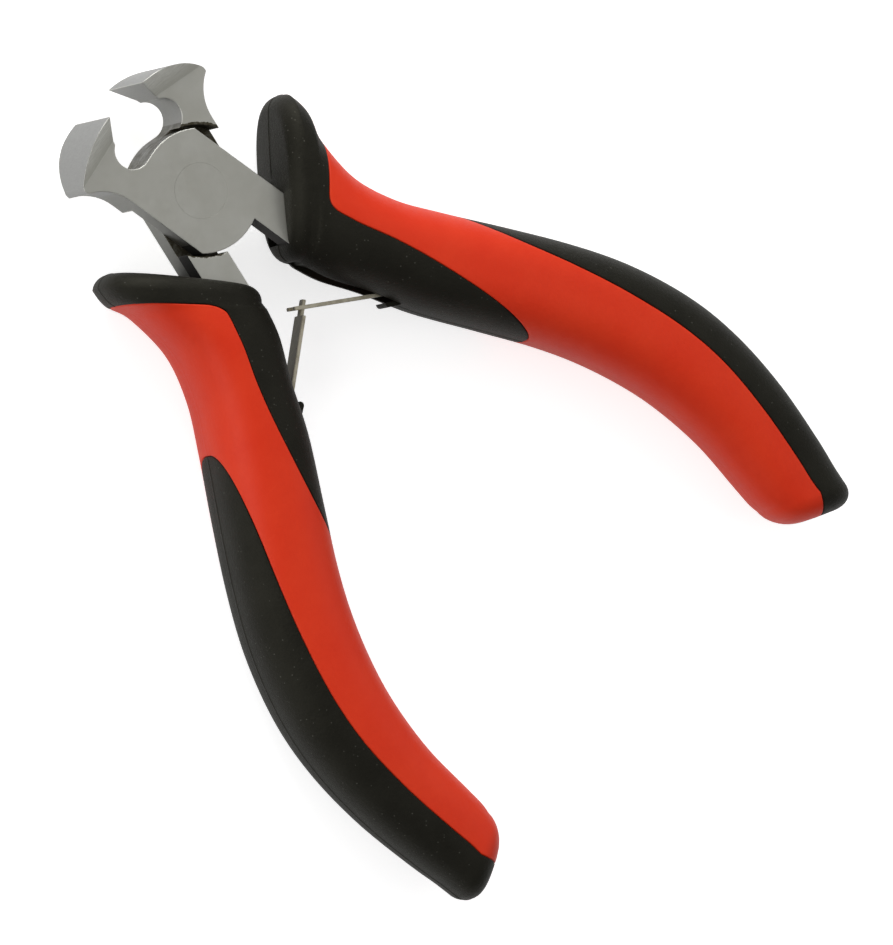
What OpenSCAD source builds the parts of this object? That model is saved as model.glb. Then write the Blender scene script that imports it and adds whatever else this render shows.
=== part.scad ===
// End cutting nippers: two lapped steel levers on one rivet, moulded two-tone handles
// and a pair of interlocking leaf springs that push the handles apart.
// Each lever is laid out as it stands with the jaws closed, jaws towards +Y,
// and is then turned about the pivot by half of the jaw opening.

/* [Joint] */
// Diameter of each lapped joint plate
joint_d = 16.6; // [15.6:0.1:18.4]
// Thickness of the joint, both plates together
joint_t = 7; // [6:0.1:8]
// Pivot to the flat side of a plate on its jaw side
plate_jaw_side = 6.8; // [6.2:0.1:7.4]
// Pivot to the flat side of a plate on its tang side
plate_tang_side = 6.4; // [5.9:0.1:7]
// Gap between the two lapped faces
lap_gap = 0.04; // [0.02:0.01:0.1]
// Gap between a plate's round edge and the shoulders of the other lever
shoulder_gap = 0.45; // [0.2:0.05:0.7]
// Angle between the levers as drawn, zero with the cutting edges together
jaw_opening = 22.6; // [10:0.2:24]

/* [Rivet] */
// Diameter of the rivet's shank
rivet_d = 5.4; // [4:0.1:6.4]
// Diameter of its countersunk heads, ground flush
rivet_head_d = 7.4; // [6.8:0.1:9]
// Depth of each countersunk head
rivet_head_h = 1.1; // [0.6:0.1:1.8]
// Radial clearance in the lever that holds the rivet
rivet_fit = 0.02; // [0.01:0.01:0.03]
// Radial clearance in the lever that turns on the rivet
rivet_running_fit = 0.04; // [0.03:0.01:0.08]

/* [Jaws] */
// Pivot to the cutting edge
jaw_reach = 16.6; // [15:0.1:18]
// Length of the cutting edge, across the jaw
jaw_w = 12.6; // [10:0.1:15]
// Middle plane to the outer corner of a closed jaw
jaw_side = 9.5; // [8.6:0.1:10.6]
// Pivot to the end of the straight waist below a jaw
jaw_waist_y = 7.3; // [6.6:0.1:8]
// Pivot to the widest point of a jaw
jaw_corner_y = 12.7; // [11.6:0.1:12.9]
// Radius of a jaw's rounded outer face
jaw_crown_r = 10.8; // [10.4:0.1:12.4]
// Middle plane to the crest of that outer face
jaw_crown_side = 1.7; // [1.2:0.1:2.2]
// Rounding of the outer corner of a jaw
jaw_corner_r = 1.1; // [0.8:0.1:1.6]
// Radius of the throat between the closed jaws
throat_r = 2.5; // [2.3:0.05:2.8]
// Pivot to the middle of the throat's curve
throat_y = 10.8; // [10.4:0.1:11.2]
// Middle plane to the middle of the throat's curve
throat_side = 1.1; // [0.8:0.1:1.4]
// Angle of the bevel behind the cutting edge, from the middle plane
edge_bevel = 28.5; // [24:0.5:32]
// Gap between the cutting edges when the jaws are shut
edge_gap = 0.06; // [0.04:0.01:0.12]
// Length over which a jaw widens from the joint's thickness to its edge
flare_len = 2.9; // [2.4:0.1:3.6]

/* [Tangs] */
// Width of a tang where it leaves the joint
tang_w = 5.1; // [4.2:0.1:5.8]
// Pivot to the bend where the tang turns along the handle
tang_bend_y = 14.5; // [13:0.1:16]
// How far the back half of the right tang is cut back on its inner side
tang_relief = 1.5; // [1:0.1:2]
// Clearance between a tang and its slot in the handle
tang_fit = 0.05; // [0.02:0.01:0.1]

/* [Handles] */
// Gap between the handles' inner sides at their closest, jaws shut
handle_gap = 0.9; // [0.6:0.1:2]
// Pivot to the inner end of the guard's first full section
handle_start = 17.2; // [16.6:0.1:19]
// Length of the handle along Y, first full section to last
handle_len = 72.6; // [64:0.2:86]
// How far the inner side bows away from the middle plane
handle_bow = 13.8; // [11:0.1:17]
// Width of the handle in its middle
handle_w = 14.4; // [12.6:0.1:16]
// Thickness of the handle at its thickest
handle_t = 15.6; // [13.6:0.1:17]
// Rounding of the guard's front edge
guard_round = 2.2; // [2:0.1:3]
// Rounding of the handle's tail
tail_round = 3.4; // [2.4:0.1:4.2]
// Thickness of the soft grips over the hard core
grip_t = 1.7; // [1:0.1:1.9]
// Radius of the grip's corner behind the guard
seam_corner_r = 1.7; // [0.8:0.1:2.4]

/* [Springs] */
// Width of a leaf, across the tool
leaf_w = 3; // [2.4:0.1:3.6]
// Thickness of a leaf
leaf_t = 0.5; // [0.4:0.05:0.7]
// Length of the right, forked leaf from its root to its tip
fork_leaf_len = 15; // [14.8:0.1:15.4]
// Length of the left, tongued leaf from its root to its tip
tongue_leaf_len = 15.8; // [15.7:0.1:16.2]
// Length of a leaf that is held behind its root
leaf_tail = 1; // [0.6:0.1:1.4]
// Middle plane to a leaf's root, jaws shut
leaf_root_side = 5.5; // [5.2:0.05:5.8]
// Pivot to a leaf's root along Y, jaws shut
leaf_root_y = 30.8; // [30.2:0.1:31.6]
// How much further from the pivot the left leaf's root is
left_root_back = 0.8; // [0.6:0.1:1]
// Angle of a leaf from the X axis of its closed lever, as drawn
leaf_angle = 133.5; // [132:0.1:135]
// Turn of a leaf about its root as the jaws shut
leaf_turn = 21.2; // [20.6:0.2:22]
// Further turn of a leaf as the handles are pulled open
leaf_over_turn = 4.4; // [3.6:0.2:5.2]
// Width of the tongue on the left leaf
tongue_w = 1.2; // [0.8:0.05:1.3]
// Length of that tongue
tongue_len = 2.2; // [1.9:0.1:2.6]
// Width of the slot in the right leaf's fork
fork_slot_w = 1.6; // [1.5:0.05:1.8]
// Length of that slot
fork_slot_len = 2.6; // [2.4:0.1:3.2]
// Clearance between a leaf and the pocket in the handle
pocket_gap = 0.35; // [0.3:0.05:0.6]
// Radius of the lip behind the pocket's mouth
lip_r = 0.4; // [0.3:0.05:0.8]
// How far along the leaf that lip stands out, from the leaf's root
lip_out = 1.8; // [1:0.1:2.2]

/* [Hidden] */
$fn = 64;

half_opening = jaw_opening / 2;
mid_z = joint_t / 2;
// Overrun of every cutting shape past the face that it cuts
overrun = 2;

steel = "#b3b1aa";
rivet_steel = "#9c9a94";
spring_steel = "#c9c2a8";
core_red = "#cf3a26";
grip_black = "#22221f";

// Handle sections from guard to tail, in shares:
// place along handle_len, inner side in handle_bow, width in handle_w, thickness in handle_t,
// then the section's tilt in degrees, and where the inner and back seams cross it,
// from -1 on the inner side to 1 on the outer side.
section_shares = [
    [0.000, 0.010, 1.555, 0.940, 38.0, -0.06, 1.60],
    [0.010, 0.006, 1.460, 0.955, 34.5, -0.06, 1.60],
    [0.020, 0.010, 1.230, 0.970, 31.0, -0.06, 1.60],
    [0.068, 0.058, 0.989, 1.000, 25.0, 0.076, 1.50],
    [0.144, 0.194, 0.887, 1.000, 22.0, 0.071, 1.29],
    [0.245, 0.335, 0.939, 1.000, 23.0, -0.139, 1.00],
    [0.367, 0.575, 0.965, 0.985, 23.0, -0.60, 0.70],
    [0.476, 0.785, 0.980, 0.950, 20.0, -1.15, 0.47],
    [0.570, 0.920, 0.995, 0.925, 13.0, -1.60, 0.31],
    [0.667, 0.998, 0.990, 0.900, 3.0, -1.60, 0.22],
    [0.751, 1.010, 0.955, 0.870, -7.0, -1.60, 0.17],
    [0.844, 0.960, 0.900, 0.815, -15.0, -1.60, 0.11],
    [0.935, 0.845, 0.855, 0.755, -24.0, -1.60, 0.05],
    [0.978, 0.790, 0.830, 0.710, -31.0, -1.60, 0.01],
    [1.000, 0.780, 0.815, 0.690, -36.0, -1.60, -0.01]];
// Places counted in rows from the guard: the end of its solid front, its front seam,
// where the back seam is still outside the handle and where the inner seam has left it
guard_front_share = 0.8;
front_seam_share = 1.6;
back_seam_share = 4.1;
inner_seam_share = 8;
// Sections and seam points in each span between rows, and points round each section and each end
span_steps = 2;
seam_steps = 4.6;
ring_points = 32;
round_steps = 4;
// Exponent of the sections' rounded-box outline
box_power = 2.7;
// Bound of the seam regions, beyond the handle's sides
region_share = 1.6;

// Path of a tang inside the handle: section row, and its two sides across that section
tang_row_shares = [[4, -0.50, 0.16], [5, -0.47, 0.14], [6, -0.34, 0.10], [7, -0.22, 0.06]];

// Catmull-Rom spline through the rows, at any place counted in rows from the guard
function row_at(i) = section_shares[max(0, min(len(section_shares) - 1, i))];
function spline(a, b, c, d, t) =
    (2 * b + (c - a) * t + (2 * a - 5 * b + 4 * c - d) * t * t + (3 * b - a - 3 * c + d) * t * t * t) / 2;
function section_at(u) =
    let (i = floor(u))
    spline(row_at(i - 1), row_at(i), row_at(i + 1), row_at(i + 2), u - i);
last_row = len(section_shares) - 1;
stations = [for (k = [0 : last_row * span_steps]) section_at(k / span_steps)];
first_section = stations[0];
last_section = stations[last_row * span_steps];
// Sections that carry the seams' points, set between the stations
function seam_sections(first, last) = [for (u = [first : 1 / seam_steps : last]) section_at(u)];

// Real sizes of a section
function half_width(s) = s[2] * handle_w / 2;
function half_thick(s) = s[3] * handle_t / 2;
function across(s) = [cos(s[4]), sin(s[4])];
function ahead(s) = [-sin(s[4]), cos(s[4])];
function inner_end(s) = [handle_gap / 2 + s[1] * handle_bow, -handle_start - s[0] * handle_len];
function centre(s) = inner_end(s) + half_width(s) * across(s);
function across_at(s, share) = centre(s) + share * half_width(s) * across(s);

// One ring of points round a section, drawn in by inset and moved by shift
function boxed(v) = sign(v) * pow(abs(v), 2 / box_power);
function ring(s, inset, shift) = [
    for (j = [0 : ring_points - 1])
        let (angle = 360 * j / ring_points,
            p = centre(s) + shift + (half_width(s) - inset) * boxed(cos(angle)) * across(s))
        [p[0], p[1], mid_z + (half_thick(s) - inset) * boxed(sin(angle))]];
// Way that the handle runs at its tail
tail_run = centre(last_section) - centre(row_at(last_row - 1));
tail_way = tail_run / norm(tail_run);
// Rings of the whole handle with rounded ends, everywhere cut_in below its surface
function handle_rings(cut_in) = [
    for (k = [round_steps : -1 : 1])
        let (turn = 90 * k / round_steps, r = guard_round - cut_in)
        ring(first_section, cut_in + r * (1 - cos(turn)), r * sin(turn) * ahead(first_section)),
    for (s = stations) ring(s, cut_in, [0, 0]),
    for (k = [1 : round_steps])
        let (turn = 90 * k / round_steps, r = tail_round - cut_in)
        ring(last_section, cut_in + r * (1 - cos(turn)), r * sin(turn) * tail_way)];

module handle_solid(cut_in = 0) {
    rings = handle_rings(cut_in);
    count = len(rings);
    sides = [
        for (i = [0 : count - 2])
            for (j = [0 : ring_points - 1])
                let (a = i * ring_points + j,
                    b = i * ring_points + (j + 1) % ring_points,
                    c = b + ring_points,
                    d = a + ring_points)
                each [[a, c, b], [a, d, c]]];
    front_cap = [for (j = [0 : ring_points - 1]) j];
    tail_cap = [for (j = [ring_points - 1 : -1 : 0]) (count - 1) * ring_points + j];
    polyhedron([for (r = rings) each r], concat(sides, [front_cap, tail_cap]), convexity = 6);
}

// A plan region carried through the handle's whole thickness
module through_handle() {
    translate([0, 0, mid_z - handle_t])
        linear_extrude(2 * handle_t)
            children();
}

// A point well ahead of the guard
function before_guard(share) = across_at(first_section, share) + handle_w * ahead(first_section);

// Plan of the guard and the strip that runs down the inner side
module guard_region() {
    sections = seam_sections(front_seam_share, inner_seam_share);
    count = len(sections) - 1;
    seam = [for (s = sections) across_at(s, s[5])];
    inner = [for (i = [count : -1 : 0]) across_at(sections[i], -region_share)];
    offset(r = -seam_corner_r)
        offset(r = seam_corner_r)
            polygon(concat(
                [across_at(sections[0], region_share)],
                seam,
                inner,
                [before_guard(-region_share), before_guard(region_share)]));
}

// Plan of the guard's front, which is soft all through
module guard_front() {
    s = section_at(guard_front_share);
    polygon([
        across_at(s, region_share),
        across_at(s, -region_share),
        before_guard(-region_share),
        before_guard(region_share)]);
}

// What the hard core fills under the soft grips
module core_room() {
    difference() {
        handle_solid(grip_t);
        through_handle() guard_front();
    }
}

// Plan of the panel over the outer side and the tail
module back_region() {
    sections = seam_sections(back_seam_share, last_row);
    count = len(sections) - 1;
    past_tail = -handle_w * ahead(last_section);
    seam = [for (s = sections) across_at(s, s[6])];
    outer = [for (i = [count : -1 : 0]) across_at(sections[i], region_share)];
    polygon(concat(
        seam,
        [across_at(last_section, last_section[6]) + past_tail,
            across_at(last_section, region_share) + past_tail],
        outer));
}

// Joins its children into one mesh without changing their size
module one_mesh() {
    resize([0, 0, 0])
        children();
}

// Plan of a tang, from inside the joint plate to its end in the handle
module tang_outline() {
    inner = [for (t = tang_row_shares) across_at(row_at(t[0]), t[1])];
    outer = [for (t = [len(tang_row_shares) - 1 : -1 : 0])
        across_at(row_at(tang_row_shares[t][0]), tang_row_shares[t][2])];
    polygon(concat(
        [[plate_tang_side - tang_w, 0], [plate_tang_side - tang_w, -tang_bend_y]],
        inner,
        outer,
        [[plate_tang_side, -tang_bend_y + tang_w / 2], [plate_tang_side, 0]]));
}

// Slot in the handle for a tang
module tang_slot() {
    translate([0, 0, -tang_fit])
        linear_extrude(joint_t + 2 * tang_fit)
            offset(delta = tang_fit)
                tang_outline();
}

// Pocket in the handle that a leaf folds into, with room for both ends of its turn
// and for the tip of the other handle's leaf. The left root lies back by left_root_back.
shut_angle = leaf_angle - leaf_turn;
wide_angle = leaf_angle + leaf_over_turn;
pocket_side = leaf_t / 2 + pocket_gap;
pocket_end = leaf_tail + pocket_gap;
pocket_w = leaf_w + 2 * pocket_gap;
function leaf_root(set_back) = [leaf_root_side, -leaf_root_y - set_back];
function along(set_back, angle, s, n) =
    leaf_root(set_back) + s * [cos(angle), sin(angle)] + n * [-sin(angle), cos(angle)];

module leaf_room(set_back, angle) {
    translate(leaf_root(set_back))
        rotate(angle)
            translate([-pocket_end, -pocket_side])
                square([pocket_end + tongue_leaf_len + pocket_gap, 2 * pocket_side]);
}

module spring_pocket(set_back) {
    translate([0, 0, mid_z - pocket_w / 2])
        linear_extrude(pocket_w) {
            hull() {
                leaf_room(set_back, shut_angle);
                leaf_room(set_back, wide_angle);
            }
            mirror([1, 0])
                leaf_room(left_root_back - set_back, shut_angle);
        }
}

// Rounded lip on the tail side of the pocket's mouth, rooted in the grip behind the leaf's end
module pocket_lip(set_back) {
    translate([0, 0, mid_z - pocket_w / 2])
        linear_extrude(pocket_w)
            hull()
                for (reach = [-pocket_end - 2 * lip_r, lip_out])
                    translate(along(set_back, wide_angle, reach, pocket_side + lip_r))
                        circle(r = lip_r, $fn = 20);
}

module handle_core(set_back) {
    one_mesh()
        difference() {
            handle_solid();
            difference() {
                through_handle() {
                    guard_region();
                    back_region();
                }
                core_room();
            }
            tang_slot();
            spring_pocket(set_back);
        }
}

module guard_grip(set_back) {
    one_mesh()
        difference() {
            union() {
                intersection() {
                    handle_solid();
                    through_handle() guard_region();
                }
                pocket_lip(set_back);
            }
            core_room();
            tang_slot();
            spring_pocket(set_back);
        }
}

module back_grip() {
    one_mesh()
        difference() {
            intersection() {
                handle_solid();
                through_handle() back_region();
            }
            handle_solid(grip_t);
        }
}

// Plan of one joint plate, a disc with two flat sides
module plate_outline() {
    intersection() {
        circle(d = joint_d);
        translate([-plate_jaw_side, -joint_d])
            square([plate_jaw_side + plate_tang_side, 2 * joint_d]);
    }
}

// Plan of one jaw, hooked round the throat to the cutting edge,
// with a hollow side above the waist and a rounded outer corner
module jaw_outline() {
    edge = [-edge_gap / 2, jaw_reach];
    bevel_foot = edge - (jaw_reach - throat_y) * [tan(edge_bevel), 1];
    throat_foot = [-throat_side, throat_y - throat_r];
    crown = [-jaw_crown_side, jaw_reach - sqrt(pow(jaw_crown_r, 2) - pow(jaw_crown_side, 2))];
    spread = jaw_side - plate_jaw_side;
    side_r = (pow(spread, 2) + pow(jaw_corner_y - jaw_waist_y, 2)) / (2 * spread);
    difference() {
        intersection() {
            polygon([
                [-plate_jaw_side, 0],
                [-plate_jaw_side, jaw_waist_y],
                [-jaw_side, jaw_corner_y],
                [-jaw_side, jaw_reach + overrun],
                edge + [0, overrun],
                [-edge_gap / 2, 0]]);
            translate(crown)
                circle(r = jaw_crown_r);
        }
        jaw_corner_cut(crown);
        translate([-plate_jaw_side - side_r, jaw_waist_y])
            circle(r = side_r);
        translate([-throat_side, throat_y])
            circle(r = throat_r);
        polygon([edge, bevel_foot, throat_foot, [overrun, throat_foot[1]], edge + [overrun, 0]]);
    }
}

// What the rounding takes off a jaw's outer corner: a wedge of the crown outside the rounding's circle
module jaw_corner_cut(crown) {
    corner_x = jaw_corner_r - jaw_side;
    corner_y = crown[1] + sqrt(pow(jaw_crown_r - jaw_corner_r, 2) - pow(corner_x - crown[0], 2));
    corner = [corner_x, corner_y];
    outward = (corner - crown) / norm(corner - crown);
    difference() {
        polygon([
            corner,
            corner - [2 * jaw_corner_r, 0],
            corner + 2 * jaw_corner_r * [-1, 1],
            corner + 2 * jaw_corner_r * outward]);
        translate(corner)
            circle(r = jaw_corner_r);
    }
}

// Slope ground into the face of a jaw, from the joint's thickness up to the edge's width
module flare_cut() {
    rise = (jaw_w - joint_t) / 2;
    translate([-jaw_reach, 0, 0])
        rotate([90, 0, 90])
            linear_extrude(2 * jaw_reach)
                polygon([
                    [-overrun, joint_t],
                    [jaw_reach - flare_len, joint_t],
                    [jaw_reach + flare_len, joint_t + 2 * rise],
                    [jaw_reach + flare_len, joint_t + jaw_w],
                    [-overrun, joint_t + jaw_w]]);
}

// Turns a lever over about the Y axis, so that its other face is in front
module turned_over() {
    translate([0, 0, joint_t])
        rotate([0, 180, 0])
            children();
}

module jaw() {
    difference() {
        translate([0, 0, mid_z - jaw_w / 2])
            linear_extrude(jaw_w)
                jaw_outline();
        flare_cut();
        translate([0, 0, joint_t])
            mirror([0, 0, 1])
                flare_cut();
    }
}

// One lever, shut, with its plate in front, its jaw on the left and its tang on the right
module lever(bore_fit) {
    plate_z = mid_z + lap_gap / 2;
    difference() {
        union() {
            translate([0, 0, plate_z])
                linear_extrude(joint_t - plate_z)
                    plate_outline();
            jaw();
            linear_extrude(joint_t)
                tang_outline();
        }
        translate([0, 0, -jaw_w])
            cylinder(d = joint_d + 2 * shoulder_gap, h = jaw_w + plate_z);
        rivet_shape(bore_fit, overrun);
    }
}

// What is cut off the inner side of the right tang below the lap
module tang_relief_cut() {
    translate([plate_tang_side - tang_w - overrun, -tang_bend_y, -overrun])
        cube([tang_relief + overrun, tang_bend_y, mid_z + lap_gap / 2 + overrun]);
}

// Rivet along the pivot, grown by a radial fit and run past its ends by extra
module rivet_shape(fit, extra) {
    head_z = joint_t - rivet_head_h;
    translate([0, 0, -extra])
        cylinder(d = rivet_d + 2 * fit, h = joint_t + 2 * extra);
    translate([0, 0, head_z])
        cylinder(d1 = rivet_d + 2 * fit, d2 = rivet_head_d + 2 * fit, h = rivet_head_h);
    translate([0, 0, joint_t])
        cylinder(d = rivet_head_d + 2 * fit, h = extra);
    cylinder(d1 = rivet_head_d + 2 * fit, d2 = rivet_d + 2 * fit, h = rivet_head_h);
    translate([0, 0, -extra])
        cylinder(d = rivet_head_d + 2 * fit, h = extra);
}

// Blank of a leaf along +X from its root
module leaf_blank(leaf_len) {
    translate([-leaf_tail, -leaf_t / 2, -leaf_w / 2])
        cube([leaf_tail + leaf_len, leaf_t, leaf_w]);
}

module fork_leaf() {
    difference() {
        leaf_blank(fork_leaf_len);
        translate([fork_leaf_len - fork_slot_len, -leaf_t, -fork_slot_w / 2])
            cube([fork_slot_len + overrun, 2 * leaf_t, fork_slot_w]);
    }
}

module tongue_leaf() {
    difference() {
        leaf_blank(tongue_leaf_len);
        for (side = [-1, 1])
            translate([tongue_leaf_len - tongue_len, -leaf_t, side * (tongue_w + leaf_w) / 2 - leaf_w / 2])
                cube([tongue_len + overrun, 2 * leaf_t, leaf_w]);
    }
}

// A leaf at its root in a closed handle
module seat_leaf(set_back) {
    root = leaf_root(set_back);
    translate([root[0], root[1], mid_z])
        rotate([0, 0, leaf_angle])
            children();
}

// The two halves of the tool, opened from the shut position
module right_half() {
    rotate([0, 0, half_opening])
        children();
}
module left_half() {
    rotate([0, 0, -half_opening])
        mirror([1, 0, 0])
            children();
}

module front_lever() {
    color(steel)
        right_half()
            difference() {
                lever(rivet_fit);
                tang_relief_cut();
            }
}
module rear_lever() { color(steel) rotate([0, 0, -half_opening]) turned_over() lever(rivet_running_fit); }
module pivot_rivet() { color(rivet_steel) right_half() rivet_shape(0, 0); }
module right_handle_core() { color(core_red) right_half() handle_core(0); }
module right_guard_grip() { color(grip_black) right_half() guard_grip(0); }
module right_back_grip() { color(grip_black) right_half() back_grip(); }
module left_handle_core() { color(core_red) left_half() handle_core(left_root_back); }
module left_guard_grip() { color(grip_black) left_half() guard_grip(left_root_back); }
module left_back_grip() { color(grip_black) left_half() back_grip(); }
module right_leaf_spring() { color(spring_steel) right_half() seat_leaf(0) fork_leaf(); }
module left_leaf_spring() { color(spring_steel) left_half() seat_leaf(left_root_back) tongue_leaf(); }

front_lever();
rear_lever();
pivot_rivet();
right_handle_core();
right_guard_grip();
right_back_grip();
left_handle_core();
left_guard_grip();
left_back_grip();
right_leaf_spring();
left_leaf_spring();
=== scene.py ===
import math

import bmesh
import bpy
import numpy as np
from mathutils import Matrix, Vector


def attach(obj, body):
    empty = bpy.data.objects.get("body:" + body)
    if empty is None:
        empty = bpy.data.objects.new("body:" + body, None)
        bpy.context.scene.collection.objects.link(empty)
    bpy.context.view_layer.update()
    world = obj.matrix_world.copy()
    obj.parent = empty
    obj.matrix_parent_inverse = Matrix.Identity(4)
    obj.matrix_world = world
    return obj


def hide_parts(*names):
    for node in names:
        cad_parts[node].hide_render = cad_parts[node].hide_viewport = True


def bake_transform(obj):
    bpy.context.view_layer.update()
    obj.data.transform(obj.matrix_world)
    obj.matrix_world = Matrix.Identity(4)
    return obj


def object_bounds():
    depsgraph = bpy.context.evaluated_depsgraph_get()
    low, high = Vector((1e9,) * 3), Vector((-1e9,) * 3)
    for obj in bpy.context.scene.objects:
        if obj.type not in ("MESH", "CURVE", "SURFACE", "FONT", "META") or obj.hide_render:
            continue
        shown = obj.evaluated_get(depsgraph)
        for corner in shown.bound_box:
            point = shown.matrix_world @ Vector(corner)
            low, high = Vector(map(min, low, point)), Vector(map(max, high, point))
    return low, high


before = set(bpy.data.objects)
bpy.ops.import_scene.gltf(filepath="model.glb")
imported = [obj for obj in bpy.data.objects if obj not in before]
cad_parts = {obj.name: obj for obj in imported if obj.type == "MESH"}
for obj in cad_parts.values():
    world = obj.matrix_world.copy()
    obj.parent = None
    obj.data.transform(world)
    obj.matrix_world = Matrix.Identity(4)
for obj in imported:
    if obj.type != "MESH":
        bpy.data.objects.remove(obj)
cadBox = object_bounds()
scene = bpy.context.scene
mm = 0.001
tiny = 1e-6
print("frame loaded,", len(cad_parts), "nodes")


# Node helpers
def connect(tree, node, links):
    for key, value in links.items():
        if isinstance(value, bpy.types.NodeSocket):
            tree.links.new(value, node.inputs[key])
        else:
            node.inputs[key].default_value = value


def newMaterial(name):
    material = bpy.data.materials.new(name)
    material.use_nodes = True
    return material, material.node_tree, material.node_tree.nodes["Principled BSDF"]


def addNode(tree, kind, links=None, **settings):
    made = tree.nodes.new(kind)
    for key, value in settings.items():
        setattr(made, key, value)
    connect(tree, made, links or {})
    return made


def millimetres(tree, stretch=(1, 1, 1)):
    coords = addNode(tree, "ShaderNodeTexCoord")
    scale = [s / mm for s in stretch]
    return addNode(tree, "ShaderNodeMapping", {0: coords.outputs["Object"], "Scale": scale}).outputs[0]


def noiseAt(tree, place, scale, detail=4, rough=0.55):
    links = {"Vector": place, "Scale": scale, "Detail": detail, "Roughness": rough}
    return addNode(tree, "ShaderNodeTexNoise", links).outputs["Fac"]


def spread(tree, value, low, high, outLow, outHigh):
    links = {0: value, 1: low, 2: high, 3: outLow, 4: outHigh}
    return addNode(tree, "ShaderNodeMapRange", links).outputs[0]


def mixColours(tree, factor, first, second):
    return addNode(tree, "ShaderNodeMix", {0: factor, 6: first, 7: second}, data_type="RGBA").outputs[2]


def mixValues(tree, factor, first, second):
    return addNode(tree, "ShaderNodeMix", {0: factor, 2: first, 3: second}, data_type="FLOAT").outputs[0]


def mixVectors(tree, factor, first, second):
    return addNode(tree, "ShaderNodeMix", {0: factor, 4: first, 5: second}, data_type="VECTOR").outputs[1]


def calc(tree, operation, first, second=0.0):
    return addNode(tree, "ShaderNodeMath", {0: first, 1: second}, operation=operation).outputs[0]


def measure(tree, operation, *vectors):
    made = addNode(tree, "ShaderNodeVectorMath", dict(enumerate(vectors)), operation=operation)
    return made.outputs["Value"]


def bumpFrom(tree, height, strength, distance, before=None):
    links = {"Height": height, "Strength": strength, "Distance": distance * mm}
    if before is not None:
        links["Normal"] = before
    return addNode(tree, "ShaderNodeBump", links).outputs[0]


def allOf(tree, *masks):
    result = masks[0]
    for mask in masks[1:]:
        result = calc(tree, "MULTIPLY", result, mask)
    return result


def anyOf(tree, *masks):
    result = masks[0]
    for mask in masks[1:]:
        result = calc(tree, "MAXIMUM", result, mask)
    return result


def over(tree, value, level):
    return calc(tree, "GREATER_THAN", value, level)


def under(tree, value, level):
    return calc(tree, "LESS_THAN", value, level)


def split(tree, vector):
    return addNode(tree, "ShaderNodeSeparateXYZ", {0: vector}).outputs


# Satin ground steel: fine grain, worn edges with a painted highlight, coarsely ground flares,
# side walls and tang sides painted dark as shade, and a browned lap recess with painted shade at its shoulder
steel = {
    # the pale worn colour also serves as a painted highlight on edges; the wall colours are painted shade on
    # the side walls, the near-black one painted shade on the tang sides; the recess colour is the lap's brown
    # stain, also laid on its shoulder as painted shade
    "colour": (0.64, 0.635, 0.57, 1), "wornAndHighlight": (0.84, 0.84, 0.79, 1), "ground": (0.95, 0.95, 0.90, 1),
    "crown": (0.34, 0.34, 0.33, 1), "shadedWalls": (0.30, 0.30, 0.28, 1),
    "recess": (0.085, 0.075, 0.050, 1), "sides": (0.055, 0.053, 0.050, 1),
    "rough": (0.38, 0.52), "groundRough": 0.78, "groundMetal": 0.55, "stainRough": 0.62,
    "grain": 6.0, "edge": 0.24, "edgeSamples": 6,
    # where the zones lie, in millimetres from the rivet's axis and the lap
    "lapHeight": 3.5, "aboveLap": 0.05, "bedRoom": 0.45, "rimFrom": 3.2, "flareDepth": (3.7, 5.6),
    "rivetRoom": 6.0, "jawsFrom": 8.0, "tangFrom": -4.0, "shoulder": 8.75, "ragged": 0.22,
    "stepRoom": 11.0, "stepInward": -3.0, "throatFrom": 1.0, "throatHalf": 6.0, "throatRoom": 0.6,
    # how a zone's surface leans
    "flareBack": -0.45, "flareSteep": (0.45, 0.9), "wallSteep": 0.4, "sideLean": 0.5, "bedSteep": 0.7,
}


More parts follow.
